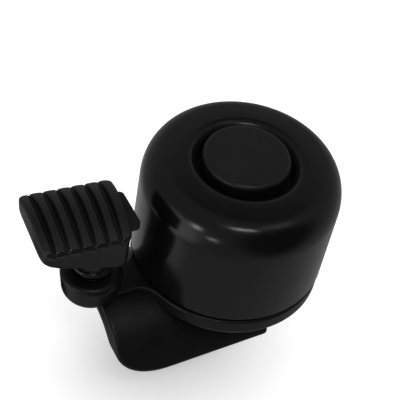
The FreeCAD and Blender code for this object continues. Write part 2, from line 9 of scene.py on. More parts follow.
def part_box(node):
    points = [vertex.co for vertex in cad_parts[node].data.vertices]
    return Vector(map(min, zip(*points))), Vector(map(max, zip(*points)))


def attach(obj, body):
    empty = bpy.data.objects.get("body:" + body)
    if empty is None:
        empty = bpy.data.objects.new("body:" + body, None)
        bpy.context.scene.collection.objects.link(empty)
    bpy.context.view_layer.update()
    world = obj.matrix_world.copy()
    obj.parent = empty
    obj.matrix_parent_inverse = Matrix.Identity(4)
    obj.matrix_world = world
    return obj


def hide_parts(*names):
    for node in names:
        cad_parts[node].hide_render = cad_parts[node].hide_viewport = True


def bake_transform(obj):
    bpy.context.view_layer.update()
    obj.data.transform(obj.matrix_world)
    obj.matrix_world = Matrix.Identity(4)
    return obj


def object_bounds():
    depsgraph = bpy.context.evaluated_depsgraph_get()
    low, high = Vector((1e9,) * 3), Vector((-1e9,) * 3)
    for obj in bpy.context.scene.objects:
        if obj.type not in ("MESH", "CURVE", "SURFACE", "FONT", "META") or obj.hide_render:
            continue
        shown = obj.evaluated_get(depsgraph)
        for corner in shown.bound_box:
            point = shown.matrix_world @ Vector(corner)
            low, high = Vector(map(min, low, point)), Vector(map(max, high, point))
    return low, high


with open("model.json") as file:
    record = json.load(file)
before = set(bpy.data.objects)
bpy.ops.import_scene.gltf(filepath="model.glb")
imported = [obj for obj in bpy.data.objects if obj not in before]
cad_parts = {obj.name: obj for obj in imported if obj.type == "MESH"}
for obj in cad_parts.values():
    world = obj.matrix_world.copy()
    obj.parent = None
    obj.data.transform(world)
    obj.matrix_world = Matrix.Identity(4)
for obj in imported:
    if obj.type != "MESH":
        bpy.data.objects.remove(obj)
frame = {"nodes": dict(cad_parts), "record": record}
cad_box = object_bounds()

# Looks of the thumb-flick bicycle bell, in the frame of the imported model: origin on the handlebar's
# axis under the gong, +X along the bar, +Z up. The scene is in metres; named sizes are millimetres.

MM = 0.001
TAU = 2 * math.pi


def span(node):
    """Lowest and highest corner of a node in millimetres."""
    low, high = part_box(node)
    return low / MM, high / MM


# ---- mesh helpers ----------------------------------------------------------------
def new_object(name, data):
    """Object in the scene with this mesh, lamp or camera."""
    obj = bpy.data.objects.new(name, data)
    bpy.context.scene.collection.objects.link(obj)
    return obj


def mesh_from(name, points, faces, smooth=True):
    """Object from millimetre points and faces, normals outwards."""
    mesh = bpy.data.meshes.new(name)
    mesh.from_pydata([Vector(p) * MM for p in points], [], faces)
    bm = bmesh.new()
    bm.from_mesh(mesh)
    bmesh.ops.recalc_face_normals(bm, faces=bm.faces)
    bm.to_mesh(mesh)
    bm.free()
    mesh.polygons.foreach_set("use_smooth", [smooth] * len(mesh.polygons))
    return new_object(name, mesh)


def lathe(name, profile, turns, axis_x=0.0):
    """Closed solid of revolution; profile is a loop of (r, z), and r = 0 is a point on the axis."""
    points = []
    rings = []
    for r, z in profile:
        spots = turns if r > 0 else 1
        rings.append([len(points) + i % spots for i in range(turns)])
        for i in range(spots):
            angle = TAU * i / turns
            points.append((axis_x + r * math.cos(angle), r * math.sin(angle), z))
    faces = []
    for ring, following in zip(rings, rings[1:] + rings[:1]):
        for i in range(turns):
            j = (i + 1) % turns
            corners = list(dict.fromkeys((ring[i], ring[j], following[j], following[i])))
            if len(corners) > 2:
                faces.append(corners)
    return mesh_from(name, points, faces)


def arc_points(centre, radii, start, end, steps):
    """Points on an ellipse arc, degrees, both ends included."""
    out = []
    for i in range(steps + 1):
        angle = math.radians(start + (end - start) * i / steps)
        out.append((centre[0] + radii[0] * math.cos(angle), centre[1] + radii[1] * math.sin(angle)))
    return out


def round_points(centre, radius, start, end, steps):
    """Points on a circle arc, degrees, both ends included."""
    return arc_points(centre, (radius, radius), start, end, steps)


def line_points(a, b, steps):
    """Points from a towards b, without b."""
    return [(a[0] + (b[0] - a[0]) * i / steps, a[1] + (b[1] - a[1]) * i / steps) for i in range(steps)]


# ---- gong ------------------------------------------------------------------------
GONG_WALL = 1.4
RIM_BEAD = 0.3               # rounding of the rim
SIDE_H = 15.6                # height of the straight side
SHOULDER = 4.2               # the rounded shoulder reaches this far inwards
SHOULDER_END = 85            # degrees; from here a parabola runs on over the crown
CROWN_STEPS = 8
LIP_R = 1.6                  # rounding of the crown into the pocket
POCKET_R = 8.6
POCKET_Z = 33.6              # floor of the pocket
POCKET_FILLET = 0.8
UNDER_FILLET = 0.6           # rounding of the pocket's floor on the underside
HOLE_R = 2.3                 # hole for the screw
INSIDE_END = 88              # degrees; the shoulder ends here on the inside
BEAD_END = 355               # degrees; short of the outline's first point
LIP_GAP = 0.2                # each gap lies between a rounding or an edge and the next ring of points
FILLET_GAP = 0.6
INSIDE_GAP = 1.0


def crown_fit(side_top, top, centre_r, crown_r):
    """Radius of the shoulder's end, its rise, and the crown's drop to it, so that the slopes agree."""
    end = math.radians(SHOULDER_END)
    end_r = centre_r + SHOULDER * math.cos(end)
    drop_share = (end_r - crown_r) * math.cos(end) / (2 * SHOULDER * math.sin(end))
    rise = (top - side_top) / (math.sin(end) + drop_share)
    return end_r, rise, rise * drop_share


def gong_profile():
    """Outline of the gong's wall: up the outside, over the crown into the pocket, and back inside."""
    low, high = span("dome")
    radius, rim, top = high.x, low.z, high.z
    side_top = rim + SIDE_H
    centre_r = radius - SHOULDER
    crown_r = POCKET_R + LIP_R
    end_r, rise, drop = crown_fit(side_top, top, centre_r, crown_r)

    outer = line_points((radius, rim + RIM_BEAD), (radius, side_top), steps=14)
    outer += arc_points((centre_r, side_top), (SHOULDER, rise), 0, SHOULDER_END, steps=34)
    for i in range(1, CROWN_STEPS):
        t = i / CROWN_STEPS
        outer.append((end_r + (crown_r - end_r) * t, top - drop * (1 - t) ** 2))
    outer += round_points((crown_r, top - LIP_R), LIP_R, 90, 180, steps=14)
    wall_foot = POCKET_Z + POCKET_FILLET
    floor_r = POCKET_R - POCKET_FILLET
    outer += line_points((POCKET_R, top - LIP_R - LIP_GAP), (POCKET_R, wall_foot), steps=4)
    outer += round_points((floor_r, wall_foot), POCKET_FILLET, 0, -90, steps=8)
    outer += line_points((floor_r - FILLET_GAP, POCKET_Z), (HOLE_R, POCKET_Z), steps=5)

    under = POCKET_Z - GONG_WALL
    well_r = POCKET_R + GONG_WALL
    well_top = top - GONG_WALL - POCKET_FILLET
    inside_r = radius - GONG_WALL
    inner = [(HOLE_R, POCKET_Z), (HOLE_R, under)]
    inner += line_points((HOLE_R + INSIDE_GAP, under), (well_r - UNDER_FILLET, under), steps=5)
    inner += round_points((well_r - UNDER_FILLET, under + UNDER_FILLET), UNDER_FILLET, -90, 0, steps=6)
    inner += line_points((well_r, under + INSIDE_GAP), (well_r, well_top), steps=3)
    well_edge = (-POCKET_FILLET, POCKET_FILLET)
    inner += arc_points((well_r + POCKET_FILLET, well_top), well_edge, 0, 90, steps=6)
    inside = (SHOULDER - GONG_WALL, rise - GONG_WALL)
    inner += arc_points((centre_r, side_top), inside, INSIDE_END, 0, steps=20)
    inner += line_points((inside_r, side_top - INSIDE_GAP), (inside_r, rim + RIM_BEAD), steps=10)
    inner += round_points((inside_r + RIM_BEAD, rim + RIM_BEAD), RIM_BEAD, 180, 270, steps=5)
    inner += round_points((radius - RIM_BEAD, rim + RIM_BEAD), RIM_BEAD, 270, BEAD_END, steps=5)
    return outer + inner


def make_gong():
    """Gong as one solid of revolution."""
    gong = lathe("gong", gong_profile(), turns=192)
    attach(gong, "root")
    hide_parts("dome")
    return gong


# ---- centre cap ------------------------------------------------------------------
CAP_EDGE_R = 0.8
CAP_WALL = 0.9
CAP_PLATE = 1.2              # thickness of the top
CAP_CHAMFER = (0.1, 0.2)     # width and height, outside at the foot
CAP_BEAD = 0.3               # snap bead inside at the foot
CAP_BEAD_H = 0.4
CAP_GAPS = (0.2, 0.3, 0.2)   # from the top's, side's and bead's edge to the next ring of points


def make_cap():
    """Snap-on cap: a disc with a thin skirt and a snap bead."""
    low, high = span("centre_cap")
    radius, top, foot = high.x, high.z, low.z
    inside_r, ceiling = radius - CAP_WALL, top - CAP_PLATE
    edge_z = top - CAP_EDGE_R
    profile = line_points((0.0, top), (radius - CAP_EDGE_R - CAP_GAPS[0], top), steps=12)
    profile += round_points((radius - CAP_EDGE_R, edge_z), CAP_EDGE_R, 90, 0, steps=8)
    profile += line_points((radius, edge_z - CAP_GAPS[1]), (radius, foot + CAP_CHAMFER[1]), steps=8)
    profile += [(radius - CAP_CHAMFER[0], foot), (inside_r - CAP_BEAD, foot), (inside_r, foot + CAP_BEAD_H)]
    profile += line_points((inside_r, foot + CAP_BEAD_H + CAP_GAPS[2]), (inside_r, ceiling), steps=4)
    profile += line_points((inside_r, ceiling), (0.0, ceiling), steps=5)
    profile.append((0.0, ceiling))
    cap = lathe("cap", profile, turns=128)
    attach(cap, "root")
    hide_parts("centre_cap")
    return cap


# ---- thumb pad -------------------------------------------------------------------
# The pad has its own plan: u runs along it towards the gong, v across it towards the rear.
BLOCK_X = -30.75
BLOCK_YAW = -5.4
BLOCK_HALF = (7.69, 6.83)
BLOCK_TAPER = 0.3            # each end stands out this much more at the rear, and less in front
BLOCK_TOP = 35.05            # height of the top's long edges
CORNER_R = 1.6
RIM_R = 0.5                  # rounding of the top's outer edge
CROWN = 1.8                  # the top bulges this much
CROWN_V = 0.8                # this far from its middle line
GROOVES = 6
PITCH = 2.25
GROOVE_SOFT = 0.95           # width of a groove's gentle side
GROOVE_STEEP = 0.42          # width of its steep side
GROOVE_SHIFT = -0.2          # a point belongs to the groove whose deepest line, moved by this, is nearest
GROOVE_NARROW = 0.42         # share of the width left at the grooves' ends
GROOVE_FULL = 1.0            # a groove this deep has its full width
GROOVE_DEPTH = 1.15          # depth at the middle
GROOVE_END_DEPTH = 0.05
NOTCH_START = 5.7            # the grooves deepen again from here to the front edge
NOTCH_DEPTH = 0.32
RIDGE_ROUND = 0.16           # the ridges' sides lie this far below their middle
RIDGE_LEAN = 0.08            # and the side towards the gong lower still
RIDGE_DROP = 0.08            # the whole ridge lies this much lower
# Underside of the pad: place along it and height, from the thin tip to the side of the gong.
KEEL = [(-8.0, 32.8), (-7.2, 32.25), (-6.0, 31.75), (-4.8, 31.1), (-3.4, 30.55), (5.0, 28.2), (8.0, 28.6)]
UNDER_SHARE = (0.985, 0.97)  # plan of the underside against the top's
UNDER_SHIFT = 0.1            # the underside lies this much further to the rear
UNDER_EDGE = 0.25            # the underside turns up this much at its long sides
UNDER_EDGE_POWER = 12        # high, so that it does so only near them
ROWS = 30                    # rows of the grid on each side of the middle
CORNER_STEPS = 8
GROOVE_STEPS = 8
RIDGE_LINES = 2              # lines of the grid on each side of a ridge's middle
RIDGE_STEP = 0.18            # and their distance
LEAST_STEP = 0.035           # a line closer than this to the last one is left out
WALL_ROWS = 16
WALL_GATHER = 1.6            # the walls' rows lie closer together at the top
WALL_HEAD = 0.5              # the first row lies this far under the edge
TALL_WALL = 1.2              # but only where the wall is taller than this
WALL_MARK = 0.03             # depth of the horizontal moulding marks
WALL_END = 1.0               # the walls' points this close to the ends belong to the end walls
WALL_LEAN = (0.6, 0.3)       # share of the underside's inset that the walls reach
LIP_SET = 0.28               # the front face lies this far behind the ridges' ends
LIP_SHARE = 0.2              # share of the wall's rows in which it steps back


def crown_arc(half, edge_z, inner_v, inner_z):
    """Height as a function of v: edge_z at -half and half, and close to inner_z at inner_v."""
    rise = inner_z - edge_z
    sag = rise * half ** 2 / (half ** 2 - inner_v ** 2)
    radius = (half ** 2 + sag ** 2) / (2 * sag)

    def height(v):
        return edge_z + sag - radius + math.sqrt(max(radius ** 2 - v ** 2, 0))
    return height


crown_top = BLOCK_TOP + CROWN
crown_z = crown_arc(BLOCK_HALF[1], BLOCK_TOP, CROWN_V, crown_top)
floor_z = crown_arc(BLOCK_HALF[1], BLOCK_TOP - GROOVE_END_DEPTH, CROWN_V, crown_top - GROOVE_DEPTH)


def block_columns():
    """Positions along the block, closer together at the grooves' edges and at both ends."""
    columns = set()
    for i in range(CORNER_STEPS + 1):
        inset = CORNER_R * (1 - math.sin(i / CORNER_STEPS * math.pi / 2))
        columns.add(round(BLOCK_HALF[0] - inset, 4))
    columns |= {-c for c in columns}
    first = -PITCH * (GROOVES - 1) / 2
    for g in range(GROOVES):
        for i in range(GROOVE_STEPS + 1):
            columns.add(round(first + g * PITCH - GROOVE_SOFT * i / GROOVE_STEPS, 4))
            columns.add(round(first + g * PITCH + GROOVE_STEEP * i / GROOVE_STEPS, 4))
    for g in range(GROOVES + 1):
        middle = first + (g - 0.5) * PITCH
        for i in range(-RIDGE_LINES, RIDGE_LINES + 1):
            columns.add(round(middle + RIDGE_STEP * i, 4))
    ordered = sorted(columns)
    kept = [ordered[0]]
    for c in ordered[1:]:
        if c - kept[-1] > LEAST_STEP:
            kept.append(c)
    return kept


def block_reach(u):
    """How far the block's plan outline reaches in v at u."""
    inside = abs(u) - (BLOCK_HALF[0] - CORNER_R)
    if inside <= 0:
        return BLOCK_HALF[1]
    return BLOCK_HALF[1] - CORNER_R + math.sqrt(max(CORNER_R ** 2 - inside ** 2, 0))


def tapered(u, v):
    """Position along the block after its plan is narrowed towards the front."""
    return u * (1 + BLOCK_TAPER / BLOCK_HALF[0] * v / BLOCK_HALF[1])


def nearest_line(u, first, last_index):
    """The closest of several lines that are a pitch apart."""
    return first + PITCH * min(max(round((u - first) / PITCH), 0), last_index)


def groove_depth(u, v):
    """Depth of the grooves at a point of the top: a gentle fall, then a steep rise towards the gong."""
    first = -PITCH * (GROOVES - 1) / 2
    offset = u - nearest_line(u - GROOVE_SHIFT, first, GROOVES - 1)
    depth = crown_z(v) - floor_z(v)
    share = GROOVE_NARROW + (1 - GROOVE_NARROW) * min(depth / GROOVE_FULL, 1)
    reach = share * (GROOVE_SOFT if offset < 0 else GROOVE_STEEP)
    if abs(offset) >= reach:
        return 0.0
    front = min(max((-v - NOTCH_START) / (BLOCK_HALF[1] - NOTCH_START), 0), 1)
    depth += NOTCH_DEPTH * front ** 2
    return depth * 0.5 * (1 + math.cos(math.pi * abs(offset) / reach))


def ridge_drop(u):
    """The ridges are slightly round across and lean down towards the gong."""
    across = (u - nearest_line(u, -PITCH * GROOVES / 2, GROOVES)) / (PITCH / 2)
    return RIDGE_ROUND * across ** 2 + RIDGE_LEAN * across + RIDGE_DROP


def rim_drop(u, v):
    """Rounding of the top's outer edge."""
    gap = max(min(BLOCK_HALF[0] - abs(u), block_reach(u) - abs(v)), 0)
    if gap >= RIM_R:
        return 0.0
    return RIM_R - math.sqrt(RIM_R ** 2 - (RIM_R - gap) ** 2)


def block_under(u):
    """Underside of the block: keel that rises to a thin tip at the thumb's end."""
    for (u0, z0), (u1, z1) in zip(KEEL, KEEL[1:]):
        if u <= u1:
            return z0 + (z1 - z0) * (max(u, u0) - u0) / (u1 - u0)
    return KEEL[-1][1]


def top_point(u, t):
    """Point of the top; t runs from -1 at the front to 1 at the rear."""
    v = t * block_reach(u)
    return (tapered(u, v), v, crown_z(v) - groove_depth(u, v) - ridge_drop(u) - rim_drop(u, v))


def under_point(u, t):
    """Point of the underside below the top's point."""
    v = t * block_reach(u)
    x = tapered(u, v)
    z = block_under(x) + UNDER_EDGE * abs(t) ** UNDER_EDGE_POWER
    return (x * UNDER_SHARE[0], v * UNDER_SHARE[1] + UNDER_SHIFT, z)


def wall_point(upper, lower, row):
    """Point of a wall row between a point of the top's outline and the underside's."""
    x0, y0, z0 = upper
    x1, y1, z1 = lower
    share = row / WALL_ROWS
    head = z0 - WALL_HEAD if z0 - z1 > TALL_WALL else z0
    z = head + (z1 - head) * share ** WALL_GATHER if row > 1 else head
    mark = WALL_MARK if row % 2 else 0.0
    x = x0 - math.copysign(mark, x0) if abs(x0) > BLOCK_HALF[0] - WALL_END else x0
    set_back = LIP_SET if y0 < -BLOCK_HALF[1] + CORNER_R else 0.0
    y = y0 + set_back * min(1.0, share / LIP_SHARE) + (mark if y0 < 0 else -mark)
    return (x + (x1 - x0) * share * WALL_LEAN[0], y + (y1 - y0) * share * WALL_LEAN[1], z)


def make_pad_body():
    """Ridged pad as one closed grid: top, underside, and walls with fine horizontal marks."""
    columns = block_columns()
    rows = [math.sin(i / ROWS * math.pi / 2) for i in range(-ROWS, ROWS + 1)]
    last_col, last_row = len(columns) - 1, len(rows) - 1
    points = []
    top = {}
    under = {}
    for grid, point_at in ((top, top_point), (under, under_point)):
        for i, u in enumerate(columns):
            for j, t in enumerate(rows):
                grid[i, j] = len(points)
                points.append(point_at(u, t))

    loop = [(i, 0) for i in range(last_col)] + [(last_col, j) for j in range(last_row)]
    loop += [(i, last_row) for i in range(last_col, 0, -1)] + [(0, j) for j in range(last_row, 0, -1)]
    walls = [[top[key] for key in loop]]
    for row in range(1, WALL_ROWS):
        walls.append(list(range(len(points), len(points) + len(loop))))
        points += [wall_point(points[top[key]], points[under[key]], row) for key in loop]
    walls.append([under[key] for key in loop])

    faces = []
    for i in range(last_col):
        for j in range(last_row):
            faces.append((top[i, j], top[i + 1, j], top[i + 1, j + 1], top[i, j + 1]))
            faces.append((under[i, j], under[i, j + 1], under[i + 1, j + 1], under[i + 1, j]))
    for upper, lower in zip(walls, walls[1:]):
        for n in range(len(loop)):
            m = (n + 1) % len(loop)
            faces.append((upper[n], upper[m], lower[m], lower[n]))
    body = mesh_from("striker_pad", points, faces)
    turn = Matrix.Rotation(math.radians(BLOCK_YAW), 4, "Z")
    body.data.transform(Matrix.Translation((BLOCK_X * MM, 0, 0)) @ turn)
    return body


# ---- neck and spring -------------------------------------------------------------
CUP_X = -27.1                # axis of the cup, neck and spring
NECK_BORE_R = 2.75
NECK_BORE_Z = (27.0, 26.0)   # rings of points in the bore's wall
NECK_MOUTH = (0.1, 0.3)      # width and height of the bore's flared mouth
NECK_LOW_R = 3.25            # the neck above its collar
NECK_HIGH_R = 3.7            # the neck under the flare
NECK_FLARE = (1.7, 1.9)      # width and height of the rounding into the pad
NECK_FLARE_Z = 27.6
NECK_FLARE_END = 70          # degrees
NECK_TOP = 30.6              # inside the pad
NECK_TOP_R = 3.4
COLLAR_R = 3.62
COLLAR_H = 1.15
COLLAR_EDGE = 0.55
COLLAR_END = 88              # degrees; its rounding ends here
COLLAR_STEP = 0.04           # from the collar's rounding up to the neck's foot
SPRING_WIRE_R = 0.4
SPRING_R = 2.25
SPRING_PITCH = 0.86
SPRING_Z = (15.8, 26.2)
SPRING_STEPS = 40            # rings of points in one turn
WIRE_STEPS = 12              # points in one ring


def make_neck():
    """Tapered neck with its spring socket."""
    low = span("striker_block")[0].z
    edge_r = COLLAR_R - COLLAR_EDGE
    collar_top = low + COLLAR_H
    profile = round_points((edge_r, low + COLLAR_EDGE), COLLAR_EDGE, -90, 0, steps=6)
    profile += round_points((edge_r, collar_top - COLLAR_EDGE), COLLAR_EDGE, 0, COLLAR_END, steps=8)
    profile += line_points((NECK_LOW_R, collar_top + COLLAR_STEP), (NECK_HIGH_R, NECK_FLARE_Z), steps=10)
    flare_centre = (NECK_HIGH_R + NECK_FLARE[0], NECK_FLARE_Z)
    profile += arc_points(flare_centre, (-NECK_FLARE[0], NECK_FLARE[1]), 0, NECK_FLARE_END, steps=10)
    profile += [(NECK_TOP_R, NECK_TOP), (NECK_BORE_R, NECK_TOP), (NECK_BORE_R, NECK_BORE_Z[0])]
    profile += line_points((NECK_BORE_R, NECK_BORE_Z[1]), (NECK_BORE_R, low + NECK_MOUTH[1]), steps=6)
    profile.append((NECK_BORE_R + NECK_MOUTH[0], low))
    return lathe("striker_neck", profile, turns=96, axis_x=CUP_X)


def make_block():
    """Pad and neck as one piece."""
    body = make_pad_body()
    neck = make_neck()
    union = body.modifiers.new("union", "BOOLEAN")
    union.operation = "UNION"
    union.solver = "EXACT"
    union.object = neck
    graph = bpy.context.evaluated_depsgraph_get()
    merged = bpy.data.meshes.new_from_object(body.evaluated_get(graph))
    body.modifiers.clear()
    body.data = merged
    bpy.data.objects.remove(neck)
    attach(body, "striker")
    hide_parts("striker_block")
    return body


def make_spring():
    """Close-wound coil spring between the cup and the neck."""
    z0, z1 = SPRING_Z
    count = int((z1 - z0) / SPRING_PITCH * SPRING_STEPS)
    above = Vector((0, 0, 1))
    points = []
    for i in range(count + 1):
        angle = TAU * i / SPRING_STEPS
        out = Vector((math.cos(angle), math.sin(angle), 0))
        centre = Vector((CUP_X, 0, z0 + (z1 - z0) * i / count)) + out * SPRING_R
        for k in range(WIRE_STEPS):
            turn = TAU * k / WIRE_STEPS
            points.append(centre + (out * math.cos(turn) + above * math.sin(turn)) * SPRING_WIRE_R)
    faces = []
    for i in range(count):
        ring, following = i * WIRE_STEPS, (i + 1) * WIRE_STEPS
        for k in range(WIRE_STEPS):
            m = (k + 1) % WIRE_STEPS
            faces.append((ring + k, following + k, following + m, ring + m))
    faces.append(tuple(range(WIRE_STEPS)))
    faces.append(tuple(count * WIRE_STEPS + k for k in reversed(range(WIRE_STEPS))))
    spring = mesh_from("coil_spring", points, faces)
    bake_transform(spring)
    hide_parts("striker_spring")
    return spring


# ---- material helpers ------------------------------------------------------------
NOISE_LOW = 0.3              # a noise signal mostly stays between these
NOISE_HIGH = 0.7


def new_material(name):
    """Material with a Principled shader; returns the material, its tree, shader and object coordinates."""
    material = bpy.data.materials.new(name)
    material.use_nodes = True
    tree = material.node_tree
    tree.nodes.clear()
    output = tree.nodes.new("ShaderNodeOutputMaterial")
    shader = tree.nodes.new("ShaderNodeBsdfPrincipled")
    tree.links.new(shader.outputs["BSDF"], output.inputs["Surface"])
    coords = tree.nodes.new("ShaderNodeTexCoord")
    return material, tree, shader, coords.outputs["Object"]


def noise(tree, vector, size_mm, detail=3.0, stretch=(1, 1, 1), rough=0.5):
    """Noise whose features are about size_mm across."""
    mapping = tree.nodes.new("ShaderNodeMapping")
    mapping.inputs["Scale"].default_value = [1 / (size_mm * MM) * s for s in stretch]
    tree.links.new(vector, mapping.inputs["Vector"])
    node = tree.nodes.new("ShaderNodeTexNoise")
    node.inputs["Scale"].default_value = 1.0
    node.inputs["Detail"].default_value = detail
    node.inputs["Roughness"].default_value = rough
    tree.links.new(mapping.outputs["Vector"], node.inputs["Vector"])
    return node.outputs["Fac"]


def fade_value(tree, value, low, high, start, end):
    """Signal that runs from start to end while another one runs from low to high."""
    node = tree.nodes.new("ShaderNodeMapRange")
    node.inputs["From Min"].default_value = low
    node.inputs["From Max"].default_value = high
    node.inputs["To Min"].default_value = start
    node.inputs["To Max"].default_value = end
    tree.links.new(value, node.inputs["Value"])
    return node.outputs["Result"]


def noise_value(tree, source, low, high):
    """Value that wanders between low and high with a noise signal."""
    return fade_value(tree, source, NOISE_LOW, NOISE_HIGH, low, high)


def noise_colour(tree, source, dark, light):
    """Colour that wanders between two tones with a noise signal."""
    node = tree.nodes.new("ShaderNodeValToRGB")
    node.color_ramp.elements[0].position = NOISE_LOW
    node.color_ramp.elements[1].position = NOISE_HIGH
    node.color_ramp.elements[0].color = (*dark, 1)
    node.color_ramp.elements[1].color = (*light, 1)
    tree.links.new(source, node.inputs["Fac"])
    return node.outputs["Color"]


def math_value(tree, operation, first, second):
    """One signal combined with another."""
    node = tree.nodes.new("ShaderNodeMath")
    node.operation = operation
    tree.links.new(first, node.inputs[0])
    tree.links.new(second, node.inputs[1])
    return node.outputs["Value"]


def add_bump(tree, shader, layers):
    """Stack bump layers (height signal, strength, height in mm) on the shader's normal."""
    normal = None
    for height, strength, depth_mm in layers:
        node = tree.nodes.new("ShaderNodeBump")
        node.inputs["Strength"].default_value = strength
        node.inputs["Distance"].default_value = depth_mm * MM
        tree.links.new(height, node.inputs["Height"])
        if normal is not None:
            tree.links.new(normal, node.inputs["Normal"])
        normal = node.outputs["Normal"]
    tree.links.new(normal, shader.inputs["Normal"])


def paint(obj, material):
    """One material all over."""
    obj.data.materials.clear()
    obj.data.materials.append(material)


# ---- materials -------------------------------------------------------------------
POCKET_DRY = 0.45            # paint lies drier in the gong's pocket: added roughness
POCKET_FADE = (0.2, 0.6)     # it fades out between these distances outside the pocket's wall
FOOT_Z = (27.5, 28.0)        # the neck is glossy below, the pad dull above
FOOT_GLOSS = 0.25            # share of the roughness left on the neck
RIM_BAND = (0.8, 0.5)        # the glossy front rim starts this far from the edge, and is full here
RIM_FLOOR = (0.9, 0.6)       # the same, below the top's edge
RIM_GLOSS = 0.7              # share of the roughness taken from the rim
PLASTIC_TONES = (0.85, 1.2)  # the tone wanders between these multiples
PLASTIC_SHEEN = (-0.04, 0.05)  # and the roughness between these additions
METAL_SHEEN = (-0.06, 0.08)
SHEET_ROUGHNESS = 0.9


def in_pocket(tree, where, amount):
    """Signal that is the amount inside the gong's pocket and zero elsewhere."""
    flat = tree.nodes.new("ShaderNodeVectorMath")
    flat.operation = "MULTIPLY"
    flat.inputs[1].default_value = (1.0, 1.0, 0.0)
    tree.links.new(where, flat.inputs[0])
    reach = tree.nodes.new("ShaderNodeVectorMath")
    reach.operation = "LENGTH"
    tree.links.new(flat.outputs["Vector"], reach.inputs[0])
    start, end = ((POCKET_R + distance) * MM for distance in POCKET_FADE)
    return fade_value(tree, reach.outputs["Value"], start, end, amount, 0.0)


def gong_paint():
    """Satin black paint over turned metal: soft orange peel and faint turning marks."""
    material, tree, shader, where = new_material("gong_paint_look")
    cloud = noise(tree, where, size_mm=6.0, detail=4)
    shader.inputs["Specular IOR Level"].default_value = 0.30
    tone = noise_colour(tree, cloud, dark=(0.0022, 0.0022, 0.0023), light=(0.0032, 0.0032, 0.0033))
    tree.links.new(tone, shader.inputs["Base Color"])
    rough = noise_value(tree, noise(tree, where, size_mm=2.4, detail=5), low=0.17, high=0.22)
    dry = math_value(tree, "ADD", rough, in_pocket(tree, where, POCKET_DRY))
    tree.links.new(dry, shader.inputs["Roughness"])
    peel = noise(tree, where, size_mm=0.55, detail=2)
    turned = noise(tree, where, size_mm=0.25, detail=2, stretch=(0.02, 0.02, 1))
    add_bump(tree, shader, [(peel, 0.05, 0.05), (turned, 0.03, 0.04)])
    return material


def polished_spots(tree, where, rough):
    """Lower the pad's roughness on its neck and along the front rim of its ridges."""
    split = tree.nodes.new("ShaderNodeSeparateXYZ")
    tree.links.new(where, split.inputs["Vector"])
    height = split.outputs["Z"]
    foot = fade_value(tree, height, FOOT_Z[0] * MM, FOOT_Z[1] * MM, FOOT_GLOSS, 1.0)
    turn = math.radians(BLOCK_YAW)
    front = tree.nodes.new("ShaderNodeVectorMath")
    front.operation = "DOT_PRODUCT"
    front.inputs[1].default_value = (math.sin(turn), -math.cos(turn), 0.0)
    tree.links.new(where, front.inputs[0])
    edge = BLOCK_HALF[1] + BLOCK_X * math.sin(turn)
    start, full = ((edge - distance) * MM for distance in RIM_BAND)
    near = fade_value(tree, front.outputs["Value"], start, full, 0.0, RIM_GLOSS)
    start, full = ((BLOCK_TOP - distance) * MM for distance in RIM_FLOOR)
    high = fade_value(tree, height, start, full, 0.0, 1.0)
    rest = fade_value(tree, math_value(tree, "MULTIPLY", near, high), 0.0, 1.0, 1.0, 0.0)
    return math_value(tree, "MULTIPLY", math_value(tree, "MULTIPLY", rough, foot), rest)


def moulded_plastic(name, tone, roughness, specular, grain_mm, grain_strength, streaks=0.04, polished=False):
    """Moulded black plastic: fine spark-eroded grain, slightly uneven sheen, level flow streaks."""
    material, tree, shader, where = new_material(name)
    shader.inputs["Specular IOR Level"].default_value = specular
    cloud = noise(tree, where, size_mm=5.0, detail=4)
    dark, light = (tuple(c * share for c in tone) for share in PLASTIC_TONES)
    tree.links.new(noise_colour(tree, cloud, dark, light), shader.inputs["Base Color"])
    sheen = noise(tree, where, size_mm=1.6, detail=5)
    rough = noise_value(tree, sheen, roughness + PLASTIC_SHEEN[0], roughness + PLASTIC_SHEEN[1])
    if polished:
        rough = polished_spots(tree, where, rough)
    tree.links.new(rough, shader.inputs["Roughness"])
    grain = noise(tree, where, grain_mm, detail=2, rough=0.65)
    flow = noise(tree, where, size_mm=0.7, detail=3, stretch=(0.12, 0.12, 1))
    add_bump(tree, shader, [(grain, grain_strength, 0.03), (flow, streaks, 0.08)])
    return material


def soft_rubber():
    """Dull black rubber."""
    material, tree, shader, where = new_material("rubber_look")
    shader.inputs["Specular IOR Level"].default_value = 0.3
    cloud = noise(tree, where, size_mm=3.0, detail=4)
    tone = noise_colour(tree, cloud, dark=(0.010, 0.010, 0.010), light=(0.016, 0.016, 0.016))
    tree.links.new(tone, shader.inputs["Base Color"])
    rough = noise_value(tree, noise(tree, where, size_mm=0.8, detail=4), low=0.72, high=0.86)
    tree.links.new(rough, shader.inputs["Roughness"])
    add_bump(tree, shader, [(noise(tree, where, size_mm=0.12, detail=3), 0.25, 0.03)])
    return material


def metal(name, dark, light, roughness, stretch):
    """Bare metal with turning or drawing marks along one direction."""
    material, tree, shader, where = new_material(name)
    shader.inputs["Metallic"].default_value = 1.0
    tone = noise_colour(tree, noise(tree, where, size_mm=1.5, detail=5), dark, light)
    tree.links.new(tone, shader.inputs["Base Color"])
    marks = noise(tree, where, size_mm=0.12, detail=3, stretch=stretch)
    rough = noise_value(tree, marks, roughness + METAL_SHEEN[0], roughness + METAL_SHEEN[1])
    tree.links.new(rough, shader.inputs["Roughness"])
    add_bump(tree, shader, [(marks, 0.15, 0.02)])
    return material


# ---- camera ----------------------------------------------------------------------
CAMERA_TARGET = Vector((-6.53, 1.77, 28.17)) * MM
CAMERA_DISTANCE = 191.15 * MM
CAMERA_AZIMUTH = -35.5       # 0 looks along +Y
CAMERA_ELEVATION = 46.47
CAMERA_ROLL = 11.44
CAMERA_LENS = 99.41
SENSOR_WIDTH = 36
CAMERA_NEAR = 10.0           # nothing closer than this is drawn


